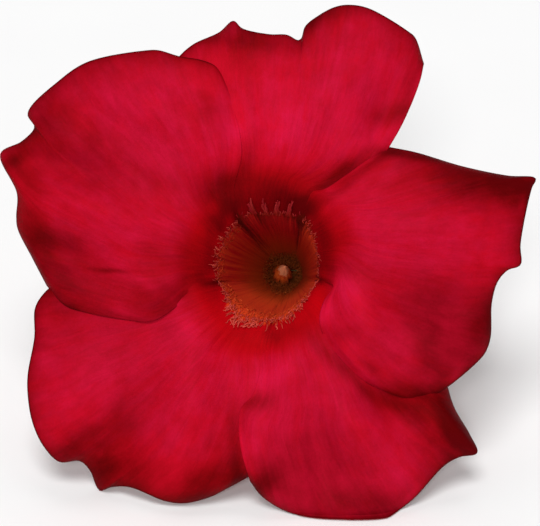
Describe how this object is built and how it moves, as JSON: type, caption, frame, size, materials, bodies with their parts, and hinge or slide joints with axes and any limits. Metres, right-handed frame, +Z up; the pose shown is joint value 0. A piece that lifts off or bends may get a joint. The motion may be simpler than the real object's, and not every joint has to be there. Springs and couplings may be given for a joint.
{
  "type": "mandevilla flower",
  "caption": "Red mandevilla flower as picked, lying on its side: overlapping petals on a slender tube with calyx and a short cut stalk.",
  "frame": {"origin": "centre of the footprint, on the surface that the flower lies on", "axes": "+X across the face to the right as seen from in front, -Y the way the face looks along the surface, +Z up; the face also looks up by 30 degrees"},
  "size_m": [0.0796, 0.0694, 0.0657],
  "materials": {
    "petal": "matte",
    "tube": "satin",
    "anther": "matte",
    "pistil": "satin",
    "calyx": "satin",
    "stalk": "satin"
  },
  "bodies": {
    "root": {"petal_top": "petal", "petal_left": "petal", "petal_lower_left": "petal", "petal_lower_right": "petal", "petal_right": "petal", "corolla_tube": "tube", "stamen_1": "anther", "stamen_2": "anther", "stamen_3": "anther", "stamen_4": "anther", "stamen_5": "anther", "pistil": "pistil", "receptacle": "calyx", "sepal_1": "calyx", "sepal_2": "calyx", "sepal_3": "calyx", "sepal_4": "calyx", "sepal_5": "calyx", "pedicel": "stalk"}
  },
  "joints": []
}
